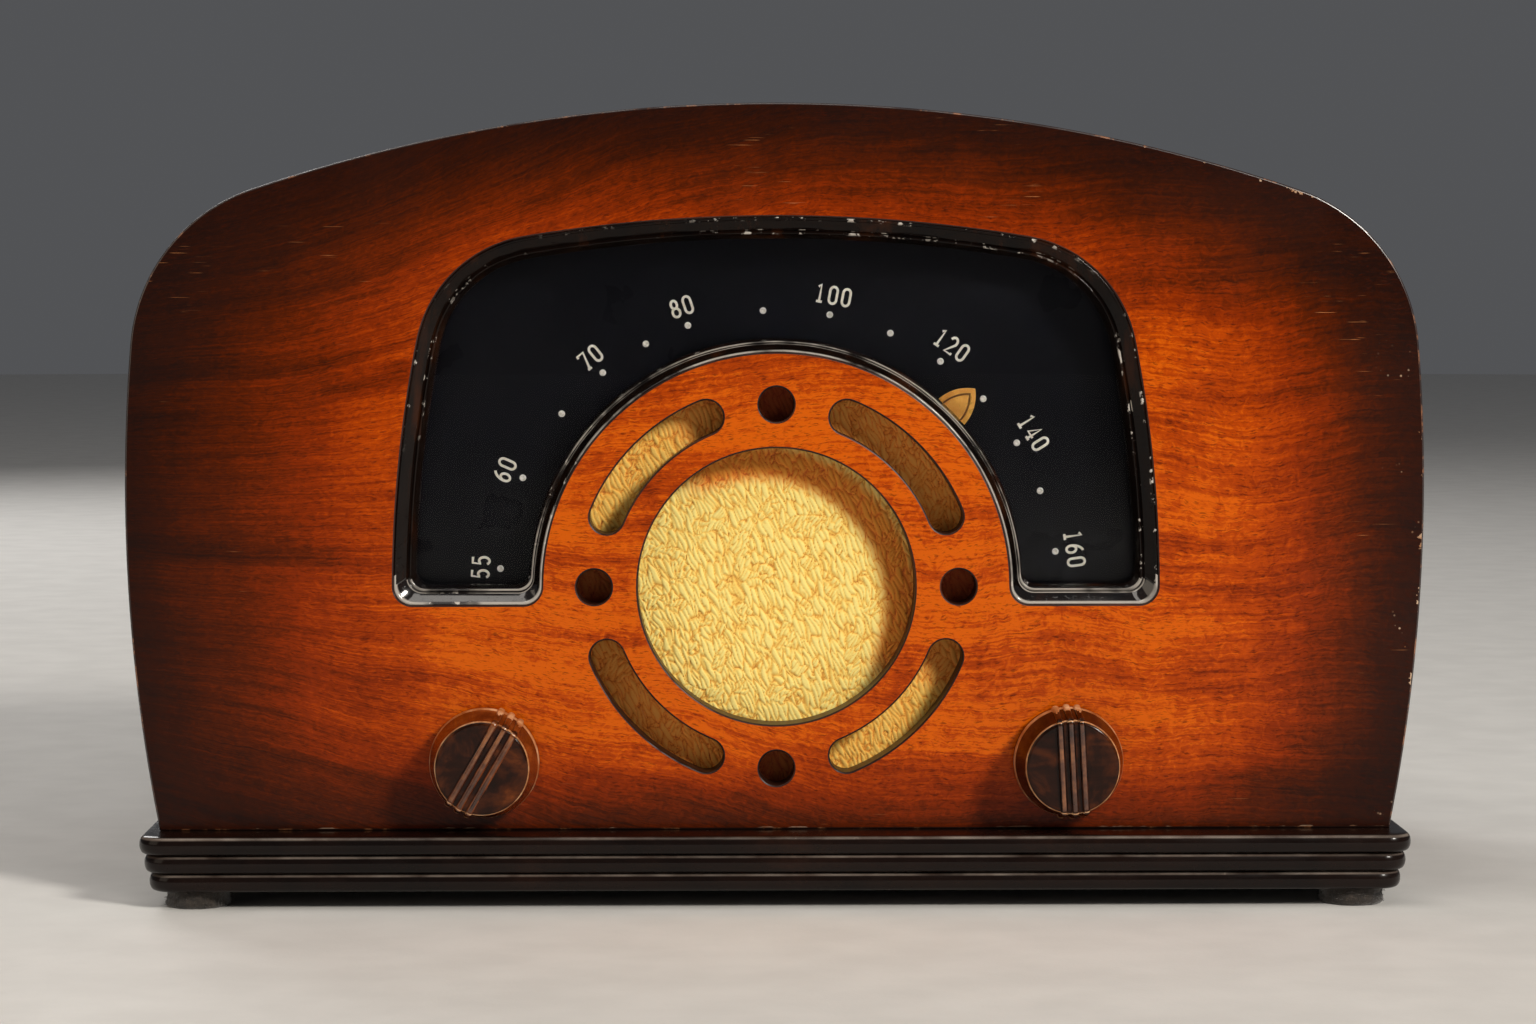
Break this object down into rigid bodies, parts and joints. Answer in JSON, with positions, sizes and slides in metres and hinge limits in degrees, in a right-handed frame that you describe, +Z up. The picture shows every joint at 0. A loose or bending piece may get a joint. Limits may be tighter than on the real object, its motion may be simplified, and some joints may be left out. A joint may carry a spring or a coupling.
{
  "type": "table radio",
  "caption": "Table-top tube radio in an arched, shaded wooden cabinet, with a horseshoe dial over a round speaker grille, two ribbed knobs and a stepped black plinth.",
  "frame": {"origin": "on the table under the middle of the whole radio", "axes": "+X to the viewer's right along the front, +Y from the front into the cabinet, +Z up"},
  "size_m": [0.35, 0.1924, 0.216],
  "materials": {
    "walnut": "glossy lacquer, shaded dark brown towards the edges",
    "black_lacquer": "black gloss lacquer",
    "felt": "matte felt",
    "pine": "raw",
    "plywood": "raw",
    "phenolic": "matte",
    "gilt": "satin gold",
    "grille_cloth": "woven with a raised herringbone",
    "bezel_black": "gloss black",
    "clear_glass": "clear",
    "dial_black": "gloss black with cream figures",
    "brass": "satin",
    "plated_steel": "plated",
    "waxed_cord": "waxed",
    "aluminium": "satin",
    "brown_bakelite": "gloss marbled brown",
    "ceramic": "matte",
    "chassis_steel": "cadmium plated",
    "basket_paint": "satin grey",
    "cone_paper": "matte",
    "copper_wire": "enamelled",
    "core_steel": "varnished laminations",
    "black_bakelite": "satin",
    "tube_metal": "carbonised",
    "fibreboard": "matte",
    "rubber": "matte"
  },
  "bodies": {
    "cabinet": {"front_panel": "walnut", "cabinet_shell": "walnut", "plinth_top": "black_lacquer", "plinth_middle": "black_lacquer", "plinth_bottom": "black_lacquer", "foot_front_left": "felt", "foot_front_right": "felt", "foot_rear_left": "felt", "foot_rear_right": "felt", "glue_blocks": "pine", "baffle_board": "plywood", "hub_ring": "plywood", "grille_cloth": "grille_cloth", "dial_bezel": "bezel_black", "dial_glass": "clear_glass", "dial_frame": "pine", "dial_plate": "dial_black", "wood_screws": "brass", "dial_cord": "waxed_cord", "shaft_bushings": "brass", "volume_control": "plated_steel", "gang_stator": "aluminium", "gang_frame": "plated_steel", "gang_insulators": "ceramic", "chassis": "chassis_steel", "speaker_gasket": "felt", "speaker_frame": "basket_paint", "cone_surround": "cone_paper", "speaker_spider": "cone_paper", "speaker_magnet": "chassis_steel", "output_transformer": "core_steel", "tube_sockets": "black_bakelite", "tube_bases": "black_bakelite", "converter_tube": "clear_glass", "if_amplifier_tube": "clear_glass", "detector_tube": "clear_glass", "output_tube": "clear_glass", "rectifier_tube": "clear_glass", "tube_elements": "tube_metal", "if_cans": "aluminium", "filter_capacitor": "aluminium", "back_cover": "fibreboard", "loop_antenna": "copper_wire", "pilot_lamp": "clear_glass", "lamp_bracket": "plated_steel", "cord_grommet": "rubber", "cover_screws": "brass", "chassis_screws": "plated_steel"},
    "tuning": {"tuning_shaft": "plated_steel", "tuning_knob": "brown_bakelite"},
    "pointer": {"pointer_ring": "phenolic", "pointer": "gilt"},
    "drum": {"drive_drum": "aluminium", "drum_pinion": "brass"},
    "gang": {"gang_gear": "brass", "gang_rotor": "aluminium"},
    "volume": {"volume_shaft": "plated_steel", "volume_knob": "brown_bakelite"},
    "cone": {"speaker_cone": "cone_paper", "voice_coil": "copper_wire"}
  },
  "joints": [
    {"name": "tuning_turn", "type": "hinge", "parent": "cabinet", "child": "tuning", "pos_m": [0.0787, -0.07875, 0.039], "axis": [0, 1, 0], "range_deg": [-1347, 398]},
    {"name": "pointer_turn", "type": "hinge", "parent": "cabinet", "child": "pointer", "pos_m": [0, -0.06375, 0.086], "axis": [0, 1, 0], "range_deg": [-134.7, 39.8]},
    {"name": "drum_turn", "type": "hinge", "parent": "cabinet", "child": "drum", "pos_m": [0.1, -0.05875, 0.115], "axis": [0, 1, 0], "range_deg": [-269.4, 79.6]},
    {"name": "gang_turn", "type": "hinge", "parent": "cabinet", "child": "gang", "pos_m": [0.1, -0.02875, 0.085], "axis": [0, 1, 0], "range_deg": [-39.8, 134.7]},
    {"name": "volume_turn", "type": "hinge", "parent": "cabinet", "child": "volume", "pos_m": [-0.0787, -0.07875, 0.039], "axis": [0, 1, 0], "range_deg": [0, 300]},
    {"name": "cone_slide", "type": "slide", "parent": "cabinet", "child": "cone", "axis": [0, 1, 0], "range_m": [-0.0008, 0.0008], "stiffness_N_per_m": 1500, "deforming": ["cone_surround", "speaker_spider"]}
  ],
  "couplings": [
    {"joint": "pointer_turn", "follows": "tuning_turn", "ratio": 0.1},
    {"joint": "drum_turn", "follows": "tuning_turn", "ratio": 0.2},
    {"joint": "gang_turn", "follows": "tuning_turn", "ratio": -0.1}
  ]
}
